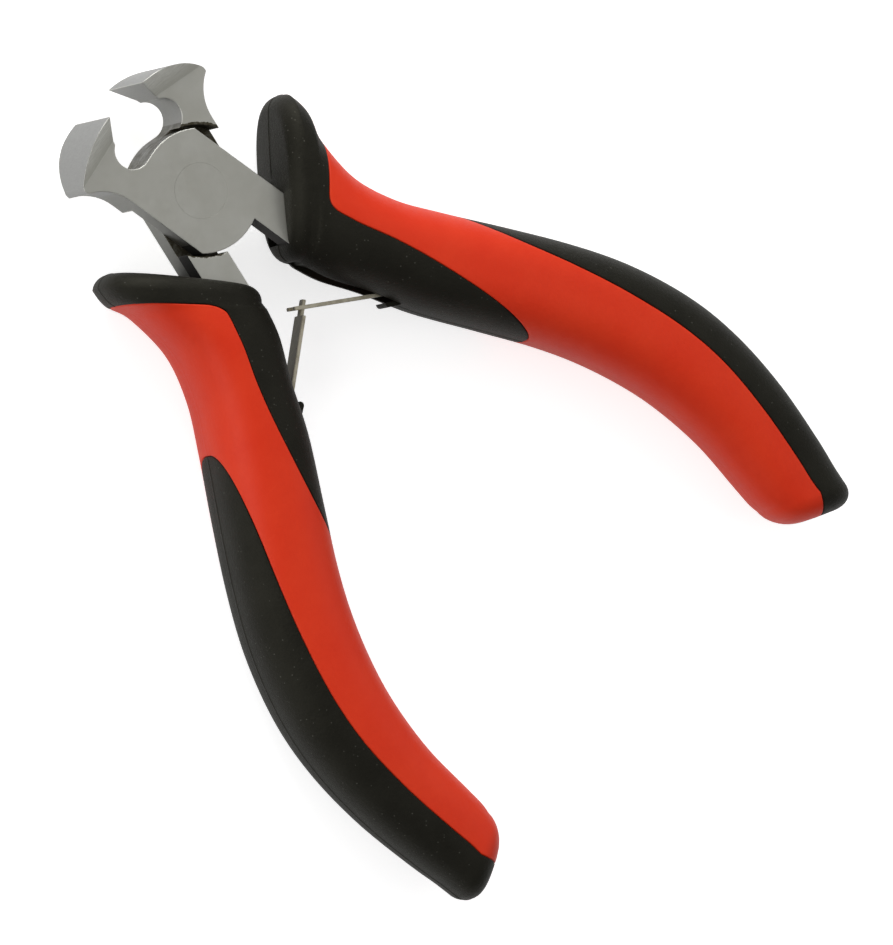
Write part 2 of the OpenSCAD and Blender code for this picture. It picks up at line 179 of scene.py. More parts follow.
def makeSteel(name, lap):
    material, tree, shader = newMaterial(name)
    place = millimetres(tree)
    fine = noiseAt(tree, place, scale=steel["grain"], detail=5, rough=0.7)
    lines = noiseAt(tree, millimetres(tree, (0.55, 5.0, 0.9)), scale=1.6, detail=4, rough=0.6)
    cloud = noiseAt(tree, place, scale=0.22, detail=3)
    shade = mixColours(tree, spread(tree, cloud, 0.3, 0.7, 0.0, 0.35), steel["colour"], steel["wornAndHighlight"])
    rough = spread(tree, lines, 0.25, 0.75, *steel["rough"])
    normal, metal = None, 1.0
    if lap:  # +1 where the lap recess opens to the front, -1 to the back, 0 on the rivet
        x, y, z = split(tree, place)
        geometry = addNode(tree, "ShaderNodeNewGeometry")
        own = addNode(tree, "ShaderNodeVectorTransform", {0: geometry.outputs["True Normal"]},
                      vector_type="NORMAL", convert_from="WORLD", convert_to="OBJECT").outputs[0]
        nx, ny, nz = split(tree, own)
        steep = calc(tree, "ABSOLUTE", nz)
        upward = calc(tree, "MULTIPLY", nz, lap)
        height = calc(tree, "MULTIPLY", calc(tree, "SUBTRACT", z, steel["lapHeight"]), lap)
        fromLap = calc(tree, "ABSOLUTE", height)
        flat = addNode(tree, "ShaderNodeCombineXYZ", {0: x, 1: y}).outputs[0]
        radius = measure(tree, "LENGTH", flat)
        inward = measure(tree, "DOT_PRODUCT", flat, own)
        ragged = noiseAt(tree, place, scale=1.6, detail=4, rough=0.65)
        onJaw = over(tree, y, steel["jawsFrom"])
        raised = over(tree, height, steel["aboveLap"])
        facesLap = over(tree, upward, steel["bedSteep"])

        # edges catch the light through softened normals, and away from the flush rivet their colour is painted
        # paler, as wear and as a painted highlight
        soft = addNode(tree, "ShaderNodeBevel", {"Radius": steel["edge"] * mm},
                       samples=steel["edgeSamples"]).outputs[0]
        facing = measure(tree, "DOT_PRODUCT", soft, geometry.outputs["Normal"])
        edge = spread(tree, facing, 0.995, 0.90, 0.0, 1.0)
        away = over(tree, radius, steel["rivetRoom"])
        wearAndHighlight = allOf(tree, edge, away, spread(tree, fine, 0.35, 0.65, 0.3, 1.0))
        shade = mixColours(tree, wearAndHighlight, shade, steel["wornAndHighlight"])
        normal = mixVectors(tree, away, geometry.outputs["Normal"], soft)

        # flares behind the cutting edges are ground coarsely along the jaw
        leastSteep, mostSteep = steel["flareSteep"]
        flare = allOf(tree, under(tree, ny, steel["flareBack"]), over(tree, steep, leastSteep),
                      under(tree, steep, mostSteep), onJaw)
        scratch = noiseAt(tree, millimetres(tree, (0.35, 3.0, 3.0)), scale=1.5, detail=5, rough=0.7)
        depth = spread(tree, fromLap, *steel["flareDepth"], 0.25, 1.0)
        bright = allOf(tree, depth, spread(tree, scratch, 0.35, 0.65, 0.45, 1))
        ground = mixColours(tree, bright, steel["colour"], steel["ground"])
        shade = mixColours(tree, flare, shade, ground)
        rough = mixValues(tree, flare, rough, steel["groundRough"])
        metal = mixValues(tree, flare, 1.0, steel["groundMetal"])
        normal = bumpFrom(tree, allOf(tree, flare, scratch), 0.5, 0.05, normal)

        # side walls are painted darker than the faces as painted shade, a little less on the jaws, and the
        # tang's sides near black as painted shade
        wall = under(tree, steep, steel["wallSteep"])
        wallShade = mixColours(tree, onJaw, steel["shadedWalls"], steel["crown"])
        shade = mixColours(tree, allOf(tree, wall, calc(tree, "SUBTRACT", 1.0, wearAndHighlight)), shade, wallShade)
        outside = over(tree, calc(tree, "MULTIPLY", nx, lap), steel["sideLean"])
        sides = allOf(tree, wall, anyOf(tree, raised, outside), under(tree, y, steel["tangFrom"]))
        shade = mixColours(tree, sides, shade, steel["sides"])

        # the lap recess and the throat are stained with ragged borders, and the same dark colour laid on the
        # shoulder wall and along the shoulder's rim is painted shade
        bed = allOf(tree, facesLap, under(tree, fromLap, steel["bedRoom"]))
        # the shoulder wall beside the other lever's disc: painted shade
        step = allOf(tree, wall, under(tree, inward, steel["stepInward"]), raised,
                     under(tree, radius, steel["stepRoom"]))
        shoulder = steel["shoulder"]
        reach = calc(tree, "ADD", spread(tree, ragged, 0.3, 0.7, shoulder, shoulder + steel["ragged"]),
                     spread(tree, y, -1.0, 1.0, 0.0, steel["ragged"]))
        # a ragged band along the shoulder's rim: painted shade
        rim = allOf(tree, facesLap, over(tree, height, steel["rimFrom"]), under(tree, radius, reach))
        stainAndShade = allOf(tree, anyOf(tree, bed, step, rim), spread(tree, ragged, 0.25, 0.55, 0.75, 1.0))
        blotch = noiseAt(tree, place, scale=0.5, detail=4, rough=0.6)
        throat = allOf(tree, wall, over(tree, y, steel["throatFrom"]),
                       under(tree, calc(tree, "ABSOLUTE", x), steel["throatHalf"]),
                       under(tree, radius, shoulder + steel["throatRoom"]),
                       spread(tree, blotch, 0.35, 0.65, 0.1, 0.7))
        stainAndShade = anyOf(tree, stainAndShade, throat)
        shade = mixColours(tree, stainAndShade, shade, steel["recess"])
        rough = mixValues(tree, anyOf(tree, stainAndShade, sides), rough, steel["stainRough"])
    normal = bumpFrom(tree, lines, 0.10, 0.02, normal)
    normal = bumpFrom(tree, fine, 0.20, 0.02, normal)
    connect(tree, shader, {"Base Color": shade, "Metallic": metal, "Roughness": rough, "Normal": normal})
    return material


# Nickel-plated spring strip, drawn lengthwise, with a painted highlight on its edges and painted shade on its
# broad faces
nickel = {
    "colour": (0.82, 0.76, 0.60, 1), "dull": (0.52, 0.47, 0.35, 1), "face": (0.10, 0.092, 0.068, 1),
    "rough": (0.26, 0.42),
}


def makeNickel():
    material, tree, shader = newMaterial("springNickel")
    drawn = noiseAt(tree, millimetres(tree, (1, 1, 7)), scale=1.2, detail=4)
    cloud = noiseAt(tree, millimetres(tree), scale=0.7, detail=3)
    edges = mixColours(tree, spread(tree, cloud, 0.4, 0.7, 0, 1), nickel["colour"], nickel["dull"])
    faces = mixColours(tree, spread(tree, drawn, 0.5, 0.8, 0, 0.5), nickel["face"], nickel["dull"])
    # the top and bottom edges are painted bright as a highlight and the broad faces dark as painted shade
    nx, ny, nz = split(tree, addNode(tree, "ShaderNodeNewGeometry").outputs["True Normal"])
    edgeHighlight = spread(tree, calc(tree, "ABSOLUTE", nz), 0.3, 0.6, 0, 1)
    connect(tree, shader, {
        "Base Color": mixColours(tree, edgeHighlight, faces, edges), "Metallic": 1.0,
        "Roughness": spread(tree, drawn, 0.3, 0.7, *nickel["rough"]),
        "Normal": bumpFrom(tree, drawn, 0.12, 0.02)})
    return material


# Hard red plastic: satin, slightly mottled, faint scuffs
redPlastic = {
    "colour": (0.79, 0.037, 0.0080, 1), "pale": (0.84, 0.051, 0.0125, 1),
    "rough": (0.40, 0.50), "specular": 0.26,
}


def makeRedPlastic():
    material, tree, shader = newMaterial("coreRed")
    place = millimetres(tree)
    fine = noiseAt(tree, place, scale=9, detail=3, rough=0.6)
    cloud = noiseAt(tree, place, scale=0.16, detail=4)
    waves = noiseAt(tree, place, scale=2.2, detail=3, rough=0.6)
    scuff = noiseAt(tree, millimetres(tree, (0.25, 2.2, 1)), scale=1.1, detail=5, rough=0.7)
    tint = calc(tree, "ADD", spread(tree, cloud, 0.35, 0.65, 0, 0.6), spread(tree, scuff, 0.62, 0.72, 0, 0.4))
    connect(tree, shader, {
        "Base Color": mixColours(tree, tint, redPlastic["colour"], redPlastic["pale"]),
        "Roughness": spread(tree, scuff, 0.3, 0.7, *redPlastic["rough"]),
        "Specular IOR Level": redPlastic["specular"],
        "Normal": bumpFrom(tree, fine, 0.12, 0.03, bumpFrom(tree, waves, 0.5, 0.08))})
    return material


# Soft black overmoulding: matte, finely eroded skin with pale specks of dust
blackRubber = {
    "colour": (0.0072, 0.0067, 0.0049, 1), "pale": (0.0112, 0.0106, 0.0080, 1),
    "dust": (0.10, 0.10, 0.085, 1), "dustScale": 1.5, "dustSize": (0.09, 0.18), "dustFrom": 0.55,
    "rough": (0.46, 0.58), "specular": 0.22, "tint": (1.0, 0.97, 0.78, 1),
}


def makeBlackRubber():
    material, tree, shader = newMaterial("gripBlack")
    place = millimetres(tree)
    skin = noiseAt(tree, place, scale=5.5, detail=3, rough=0.6)
    cloud = noiseAt(tree, place, scale=0.2, detail=4)
    waves = noiseAt(tree, place, scale=2.4, detail=4, rough=0.7)
    patches = spread(tree, cloud, 0.35, 0.65, 0, 1)
    shade = mixColours(tree, patches, blackRubber["colour"], blackRubber["pale"])
    specks = addNode(tree, "ShaderNodeTexVoronoi", {"Vector": place, "Scale": blackRubber["dustScale"]})
    dust = spread(tree, specks.outputs["Distance"], *blackRubber["dustSize"], 0.6, 0.0)
    rare = over(tree, noiseAt(tree, place, scale=0.9, detail=2), blackRubber["dustFrom"])
    connect(tree, shader, {
        "Base Color": mixColours(tree, allOf(tree, dust, rare), shade, blackRubber["dust"]),
        "Roughness": spread(tree, skin, 0.3, 0.7, *blackRubber["rough"]),
        "Specular IOR Level": blackRubber["specular"], "Specular Tint": blackRubber["tint"],
        "Normal": bumpFrom(tree, skin, 0.6, 0.06, bumpFrom(tree, waves, 0.8, 0.10))})
    return material


frontSteel = makeSteel("frontLeverSteel", -1)
rearSteel = makeSteel("rearLeverSteel", 1)
rivetSteel = makeSteel("rivetSteel", 0)
springNickel = makeNickel()
coreRed = makeRedPlastic()
gripBlack = makeBlackRubber()
print("materials ready")


# Levers and rivet keep their CAD shape, and the levers get softened edges
leverEdges = {"bevel": 0.13, "segments": 2, "angle": 50}  # the flush rivet's countersink stays sharp
dressed = {"front_lever": frontSteel, "rear_lever": rearSteel, "pivot_rivet": rivetSteel}
for nodeName, material in dressed.items():
    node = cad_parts[nodeName]
    node.data.materials.clear()
    node.data.materials.append(material)
    weld = node.modifiers.new("weld", "WELD")
    weld.merge_threshold = tiny
    if nodeName != "pivot_rivet":
        bevel = node.modifiers.new("soften", "BEVEL")
        bevel.width = leverEdges["bevel"] * mm
        bevel.segments = leverEdges["segments"]
        bevel.limit_method = "ANGLE"
        bevel.angle_limit = math.radians(leverEdges["angle"])
        bevel.use_clamp_overlap = True
    shine = node.modifiers.new("shine", "WEIGHTED_NORMAL")
    shine.keep_sharp = True
print("levers and rivet dressed")


# The two-tone handle: one rounded loft, cut along its seams into a red core and black grips
handle = {
    "gap": 0.9, "start": 17.2, "length": 72.6, "bow": 13.8, "width": 14.4, "thick": 15.6,
    "guardRound": 2.2, "tailRound": 3.4, "guardDome": 0.25, "boxPower": 2.7, "midZ": 3.5, "halfOpening": 11.3,
    "gripThick": 1.1, "coreDepth": 1.25, "seamRound": 0.18, "seamGap": 0.04, "sharpAngle": 35,
    # the fine parting line: its height, the core's share of it, its rows and their heights
    "parting": 0.07, "coreParting": 0.2, "partingRows": (-0.2, -0.1, 0.1, 0.2), "partingShape": (1.0, 0.6, 0.6),
    "frontSeamRow": 1.6, "backSeamRow": 4.1, "innerSeamRow": 8.0, "seamCorner": 1.7, "beyond": 1.6,
    # how far each handle's seams lie from the shared rows
    "seamFits": {"right": {"front": 0.5, "inner": -0.02, "back": 0.05},
                 "left": {"front": -0.35, "inner": -0.05, "back": 0.01}},
    # distances from the seam at which the skin is cut, so that its edge can roll
    "seamLevels": (-0.18, -0.11, -0.05, 0.0, 0.04, 0.09, 0.15, 0.22), "seamSnap": 0.012,
    "spanSteps": 14, "roundSteps": 9, "capSteps": 9, "ringPoints": 112, "ringSamples": 20000,
    "guardSteps": 12, "backSteps": 120, "cornerSteps": 9,
    # along, inner side, width, thickness, tilt, inner seam, back seam
    "rows": [
        [0.000, 0.010, 1.555, 0.940, 38.0, -0.06, 1.60], [0.010, 0.006, 1.460, 0.955, 34.5, -0.06, 1.60],
        [0.020, 0.010, 1.230, 0.970, 31.0, -0.06, 1.60], [0.068, 0.058, 0.989, 1.000, 25.0, 0.076, 1.50],
        [0.144, 0.194, 0.887, 1.000, 22.0, 0.071, 1.29], [0.245, 0.335, 0.939, 1.000, 23.0, -0.139, 1.00],
        [0.367, 0.575, 0.965, 0.985, 23.0, -0.60, 0.70], [0.476, 0.785, 0.980, 0.950, 20.0, -1.15, 0.47],
        [0.570, 0.920, 0.995, 0.925, 13.0, -1.60, 0.31], [0.667, 0.998, 0.990, 0.900, 3.0, -1.60, 0.22],
        [0.751, 1.010, 0.955, 0.870, -7.0, -1.60, 0.17], [0.844, 0.960, 0.900, 0.815, -15.0, -1.60, 0.11],
        [0.935, 0.845, 0.855, 0.755, -24.0, -1.60, 0.09], [0.978, 0.790, 0.830, 0.710, -31.0, -1.60, 0.08],
        [1.000, 0.780, 0.815, 0.690, -36.0, -1.60, 0.08]],
    # rows of the tang inside the handle: which row, its inner and its outer side
    "tang": {"side": 6.4, "width": 5.1, "bendY": 14.5, "fit": 0.06, "thick": 7.0,
             "rows": [[4, -0.50, 0.16], [5, -0.47, 0.14], [6, -0.34, 0.10], [7, -0.22, 0.06]]},
}
handleRows = np.array(handle["rows"])
lastRow = len(handleRows) - 1
innerSeam, backSeam = 5, 6  # columns of the rows


def sectionAt(u):
    i = int(math.floor(u))
    a, b, c, d = (handleRows[max(0, min(lastRow, i + k))] for k in (-1, 0, 1, 2))
    t = u - i
    return (2 * b + (c - a) * t + (2 * a - 5 * b + 4 * c - d) * t * t + (3 * b - a - 3 * c + d) * t ** 3) / 2


def sectionFrame(section):
    along, innerSide, width, thick, tilt = section[:5]
    tilt = math.radians(tilt)
    across = np.array([math.cos(tilt), math.sin(tilt)])
    ahead = np.array([-math.sin(tilt), math.cos(tilt)])
    halfWidth = width * handle["width"] / 2
    inner = np.array([handle["gap"] / 2 + innerSide * handle["bow"],
                      -handle["start"] - along * handle["length"]])
    return inner + halfWidth * across, across, ahead, halfWidth, thick * handle["thick"] / 2


def acrossAt(section, share):
    centre, across, ahead, halfWidth, halfThick = sectionFrame(section)
    return centre + share * halfWidth * across


def boxed(value):
    return np.sign(value) * np.abs(value) ** (2 / handle["boxPower"])


def lengthAlong(path):
    return np.concatenate([[0], np.cumsum(np.linalg.norm(np.diff(path, axis=0), axis=1))])


def ringAngles():
    turn = np.linspace(0, 2 * math.pi, handle["ringSamples"] + 1)
    length = lengthAlong(np.stack([boxed(np.cos(turn)), boxed(np.sin(turn))], 1))
    share = np.arange(handle["ringPoints"]) / handle["ringPoints"]
    half = handle["thick"] / 2
    for side in (0.0, 0.5):  # rows for the fine parting line on both sides
        share = np.concatenate([share, side + np.array(handle["partingRows"]) / half / length[-1]])
    share = np.unique(np.round(share % 1.0, 9))
    return np.interp(share * length[-1], length, turn)


def handleRings():
    rings = []
    first, last = sectionAt(0), sectionAt(lastRow)
    guardR, tailR = handle["guardRound"], handle["tailRound"]
    guardWay = sectionFrame(first)[2]
    tailWay = sectionFrame(last)[0] - sectionFrame(handleRows[-2])[0]
    tailWay /= np.linalg.norm(tailWay)
    for k in range(1, handle["capSteps"]):
        share = k / handle["capSteps"]
        rings.append((first, guardR, (guardR + handle["guardDome"] * (1 - share ** 2)) * guardWay, share))
    for k in range(handle["roundSteps"], 0, -1):
        turn = math.pi / 2 * k / handle["roundSteps"]
        rings.append((first, guardR * (1 - math.cos(turn)), guardR * math.sin(turn) * guardWay, 1))
    for k in range(lastRow * handle["spanSteps"] + 1):
        rings.append((sectionAt(k / handle["spanSteps"]), 0, 0 * tailWay, 1))
    for k in range(1, handle["roundSteps"] + 1):
        turn = math.pi / 2 * k / handle["roundSteps"]
        rings.append((last, tailR * (1 - math.cos(turn)), tailR * math.sin(turn) * tailWay, 1))
    for k in range(handle["capSteps"] - 1, 0, -1):
        rings.append((last, tailR, tailR * tailWay, k / handle["capSteps"]))
    return rings


def handleGrid():
    angles = ringAngles()
    points = []
    for section, inset, shift, share in handleRings():
        centre, across, ahead, halfWidth, halfThick = sectionFrame(section)
        wide = (halfWidth - inset) * share * boxed(np.cos(angles))
        high = (halfThick - inset) * share * boxed(np.sin(angles))
        plan = centre + shift + wide[:, None] * across
        points.append(np.column_stack([plan, handle["midZ"] + high]))
    points = np.array(points)
    count, around = points.shape[:2]
    ridge = np.zeros(around)
    for side in (0.0, math.pi):
        off = np.abs((angles - side + math.pi) % (2 * math.pi) - math.pi)
        for rank, height in zip(np.argsort(off), handle["partingShape"]):
            ridge[rank] = height * handle["parting"]
    tips = np.array([points[0].mean(0), points[-1].mean(0)])
    verts = np.concatenate([points.reshape(-1, 3), tips])
    ridges = np.concatenate([np.tile(ridge, count), [0, 0]])
    i, j = np.meshgrid(np.arange(count - 1), np.arange(around), indexing="ij")
    a, b = i * around + j, i * around + (j + 1) % around
    c, d = b + around, a + around
    faces = np.concatenate([np.stack([a, b, c], 2).reshape(-1, 3), np.stack([a, c, d], 2).reshape(-1, 3)])
    j = np.arange(around)
    onward, lastRing = (j + 1) % around, (count - 1) * around
    frontTip, tailTip = len(verts) - 2, len(verts) - 1
    front = np.stack([np.full(around, frontTip), onward, j], 1)
    tail = np.stack([np.full(around, tailTip), lastRing + j, lastRing + onward], 1)
    return verts, ridges, np.concatenate([faces, front, tail])


def vertexNormals(verts, faces):
    corner = verts[faces]
    normal = np.cross(corner[:, 1] - corner[:, 0], corner[:, 2] - corner[:, 0])
    total = np.zeros_like(verts)
    for k in range(3):
        np.add.at(total, faces[:, k], normal)
    return total / np.maximum(np.linalg.norm(total, axis=1), 1e-12)[:, None]


# Seams are drawn in plan and carried straight through the handle
def roundedCorner(path, index, radius):
    corner = path[index]
    back = path[index - 1] - corner
    back /= np.linalg.norm(back)
    length = lengthAlong(path[index:])
    onward = np.array([np.interp(radius, length, path[index:, k]) for k in (0, 1)])
    start = corner + back * radius
    t = np.linspace(0, 1, handle["cornerSteps"] + 1)[:, None]
    arc = (1 - t) ** 2 * start + 2 * t * (1 - t) * corner + t ** 2 * onward
    return np.concatenate([path[:index], arc, path[index:][length > radius]])


def guardPlan(fit):
    begin = handle["frontSeamRow"] + fit["front"]
    sections = [sectionAt(u) for u in np.arange(begin, handle["innerSeamRow"], 1 / handle["guardSteps"])]
    beyond = handle["beyond"]
    first = sectionAt(0)
    forward = handle["width"] * sectionFrame(first)[2]
    seam = [acrossAt(s, s[innerSeam] + fit["inner"]) for s in sections]
    path = roundedCorner(np.array([acrossAt(sections[0], beyond)] + seam), 1, handle["seamCorner"])
    inner = [acrossAt(s, -beyond) for s in sections[::-1]]
    ahead = [acrossAt(first, share) + forward for share in (-beyond, beyond)]
    return np.array(list(path) + inner + ahead)


def backPlan(fit):
    sections = [sectionAt(u) for u in np.linspace(handle["backSeamRow"], lastRow, handle["backSteps"])]
    beyond = handle["beyond"]
    last = sections[-1]
    pastTail = -handle["width"] * sectionFrame(last)[2]
    seam = [acrossAt(s, s[backSeam] + fit["back"]) for s in sections]
    behind = [acrossAt(last, share) + pastTail for share in (last[backSeam] + fit["back"], beyond)]
    outer = [acrossAt(s, beyond) for s in sections[::-1]]
    return np.array(seam + behind + outer)


# Distance along the skin to a plan's outline, positive inside it
def depthInside(verts, normals, plan):
    best = np.full(len(verts), np.inf)
    nearest = np.zeros((len(verts), 2))
    inside = np.zeros(len(verts), bool)
    at = verts[:, :2]
    for a, b in zip(plan, np.roll(plan, -1, axis=0)):
        edge = b - a
        t = np.clip(((at - a) @ edge) / max(edge @ edge, 1e-12), 0, 1)
        foot = a + t[:, None] * edge
        gap = np.linalg.norm(at - foot, axis=1)
        closer = gap < best
        best = np.where(closer, gap, best)
        nearest[closer] = foot[closer]
        spans = (a[1] > at[:, 1]) != (b[1] > at[:, 1])
        if abs(edge[1]) > 1e-12:
            inside ^= spans & (at[:, 0] < a[0] + (at[:, 1] - a[1]) / edge[1] * edge[0])
    away = (at - nearest) / np.maximum(best, 1e-9)[:, None]
    slope = (normals[:, :2] * away).sum(1)
    flattest = 0.06  # keeps the distance finite where the skin stands upright
    return np.where(inside, 1, -1) * best / np.sqrt(np.maximum(1 - slope ** 2, flattest))


# Splits the triangles along one level of a column of the vertex data
def cutAt(data, faces, column, level):
    value = data[:, column] - level
    value[np.abs(value) < handle["seamSnap"]] = 0
    data[value == 0, column] = level
    side = np.sign(value)[faces]
    crossing = (side.max(1) > 0) & (side.min(1) < 0)
    kept, added, made, extra = faces[~crossing].tolist(), {}, [], []

    def between(a, b):
        key = (min(a, b), max(a, b))
        if key not in added:
            t = value[key[0]] / (value[key[0]] - value[key[1]])
            added[key] = len(data) + len(extra)
            row = data[key[0]] * (1 - t) + data[key[1]] * t
            row[column] = level
            extra.append(row)
        return added[key]

    for face, sign in zip(faces[crossing].tolist(), side[crossing].tolist()):
        alone = 0 if 0 in sign else -sum(sign)
        k = sign.index(alone)
        o, a, b = face[k], face[(k + 1) % 3], face[(k + 2) % 3]
        if alone == 0:
            m = between(a, b)
            made += [[o, a, m], [o, m, b]]
        else:
            ma, mb = between(o, a), between(o, b)
            made += [[o, ma, mb], [ma, a, b], [ma, b, mb]]
    return np.concatenate([data, np.array(extra).reshape(-1, data.shape[1])]), np.array(kept + made)


def rolledOff(distance):
    r = handle["seamRound"]
    d = np.clip(r - distance, 0, r)
    return r - np.sqrt(r * r - d * d)


def addObject(name, data, material=None):
    made = bpy.data.objects.new(name, data)
    scene.collection.objects.link(made)
    if material is not None:
        data.materials.append(material)
    return made


def meshObject(name, verts, faces, material):
    used, faces = np.unique(faces, return_inverse=True)
    mesh = bpy.data.meshes.new(name)
    mesh.from_pydata((verts[used] * mm).tolist(), [], faces.reshape(-1, 3).tolist())
    mesh.validate()
    return addObject(name, mesh, material)


def bmeshObject(name, made, material=None):
    mesh = bpy.data.meshes.new(name)
    made.to_mesh(mesh)
    made.free()
    return addObject(name, mesh, material)


def closedShell(outer, inner, faces):
    edges = np.concatenate([faces[:, [0, 1]], faces[:, [1, 2]], faces[:, [2, 0]]]).tolist()
    known = {tuple(e) for e in edges}
    rim = np.array([e for e in edges if (e[1], e[0]) not in known])
    count = len(outer)
    a, b = rim[:, 0], rim[:, 1]
    walls = np.concatenate([np.stack([b, a, a + count], 1), np.stack([b, a + count, b + count], 1)])
    return np.concatenate([outer, inner]), np.concatenate([faces, faces[:, ::-1] + count, walls])


# Cutters for the tang's slot and the leaf's pocket
def prism(name, plan, low, high):
    made = bmesh.new()
    base = [made.verts.new((x * mm, y * mm, low * mm)) for x, y in plan]
    top = [made.verts.new((x * mm, y * mm, high * mm)) for x, y in plan]
    made.faces.new(base[::-1])
    made.faces.new(top)
    for k in range(len(plan)):
        n = (k + 1) % len(plan)
        made.faces.new((base[k], base[n], top[n], top[k]))
    bmesh.ops.recalc_face_normals(made, faces=made.faces)
    return bmeshObject(name, made)


def applyBoolean(piece, other, operation):
    step = piece.modifiers.new("cut", "BOOLEAN")
    step.operation = operation
    step.solver = "EXACT"
    step.object = other
    bpy.context.view_layer.update()
    result = bpy.data.meshes.new_from_object(piece.evaluated_get(bpy.context.evaluated_depsgraph_get()))
    piece.modifiers.remove(step)
    old = piece.data
    piece.data = result
    bpy.data.meshes.remove(old)


def removeObject(piece):
    mesh = piece.data
    bpy.data.objects.remove(piece)
    bpy.data.meshes.remove(mesh)


def turnOf(a, b, c):
    return (b[0] - a[0]) * (c[1] - a[1]) - (b[1] - a[1]) * (c[0] - a[0])


def hullOf(points):
    points = sorted(map(tuple, points))

    def chain(seq):
        out = []
        for p in seq:
            while len(out) > 1 and turnOf(out[-2], out[-1], p) <= 0:
                out.pop()
            out.append(p)
        return out[:-1]

    return chain(points) + chain(points[::-1])


def tangPlan():
    tang = handle["tang"]
    fit = tang["fit"]
    inner = [acrossAt(handleRows[r], low) - [fit, 0] for r, low, high in tang["rows"]]
    outer = [acrossAt(handleRows[r], high) + [fit, 0] for r, low, high in tang["rows"][::-1]]
    inX, outX = tang["side"] - tang["width"] - fit, tang["side"] + fit
    innerBend, outerBend = -tang["bendY"], -tang["bendY"] + tang["width"] / 2
    return [(inX, 0), (inX, innerBend)] + inner + outer + [(outX, outerBend), (outX, 0)]


# Leaf springs: the right one ends in a fork, the left one in a tongue that crosses it
leaf = {
    "width": 3.0, "thick": 0.5, "tail": 1.0, "rootSide": 5.5, "rootY": 30.8, "setBack": 0.8,
    "angle": 133.5, "turn": 21.2, "overTurn": 4.4, "flexEnd": 9.5,
    "forkLength": 15.0, "slotWidth": 1.6, "slotLength": 2.6,
    "tongueLength": 15.8, "tongueWidth": 1.2, "tongueSize": 2.2,
    "pocketGap": 0.35, "lipRound": 0.55, "lipOut": 1.8, "lipSteps": 24,
    "step": 0.4, "tipSteps": 6, "edge": 0.07, "edgeSegments": 2, "edgeAngle": 0.7, "sharpAngle": 40,
}


def leafRoot(setBack):
    return np.array([leaf["rootSide"], -leaf["rootY"] - setBack])


def alongLeaf(setBack, angle, s, n):
    turn = math.radians(angle)
    way = np.array([math.cos(turn), math.sin(turn)])
    return leafRoot(setBack) + s * way + n * np.array([-way[1], way[0]])


def leafRoom(setBack, angle):
    side = leaf["thick"] / 2 + leaf["pocketGap"]
    near, far = -leaf["tail"] - leaf["pocketGap"], leaf["tongueLength"] + leaf["pocketGap"]
    corners = ((near, -side), (far, -side), (far, side), (near, side))
    return [alongLeaf(setBack, angle, s, n) for s, n in corners]


def pocketCutters(setBack):
    half = leaf["width"] / 2 + leaf["pocketGap"]
    shut, wide = leaf["angle"] - leaf["turn"], leaf["angle"] + leaf["overTurn"]
    own = hullOf(leafRoom(setBack, shut) + leafRoom(setBack, wide))
    other = [(-x, y) for x, y in leafRoom(leaf["setBack"] - setBack, shut)][::-1]
    low, high = handle["midZ"] - half, handle["midZ"] + half
    return [prism("pocket", own, low, high), prism("tipRoom", other, low, high)]


def pocketLip(setBack):
    side = leaf["thick"] / 2 + leaf["pocketGap"] + leaf["lipRound"]
    wide = leaf["angle"] + leaf["overTurn"]
    ring = np.linspace(0, 2 * math.pi, leaf["lipSteps"] + 1)[:-1]
    circle = leaf["lipRound"] * np.stack([np.cos(ring), np.sin(ring)], 1)
    behind = -leaf["tail"] - leaf["pocketGap"] - 2 * leaf["lipRound"]
    ends = [alongLeaf(setBack, wide, s, side) for s in (behind, leaf["lipOut"])]
    half = (leaf["width"] + leaf["pocketGap"]) / 2  # just inside the pocket's height
    plan = hullOf([tuple(e + c) for e in ends for c in circle])
    return prism("lip", plan, handle["midZ"] - half, handle["midZ"] + half)


# One half is drawn along the tool and turned open, the other is its mirror image
def halfTurn(mirrored):
    flip = -1 if mirrored else 1
    return flip, math.radians(handle["halfOpening"] * flip)


def placeHalf(piece, mirrored):
    flip, turn = halfTurn(mirrored)
    piece.data.transform(Matrix.Rotation(turn, 4, "Z") @ Matrix.Diagonal((flip, 1, 1, 1)))
    if mirrored:
        piece.data.flip_normals()


def finishSurface(piece, angle):
    for polygon in piece.data.polygons:
        polygon.use_smooth = True
    piece.data.set_sharp_from_angle(angle=math.radians(angle))


baseVerts, baseRidges, baseFaces = handleGrid()
baseNormals = vertexNormals(baseVerts, baseFaces)
handleHalves = (("right", "front_half", False, 0.0), ("left", "rear_half", True, leaf["setBack"]))

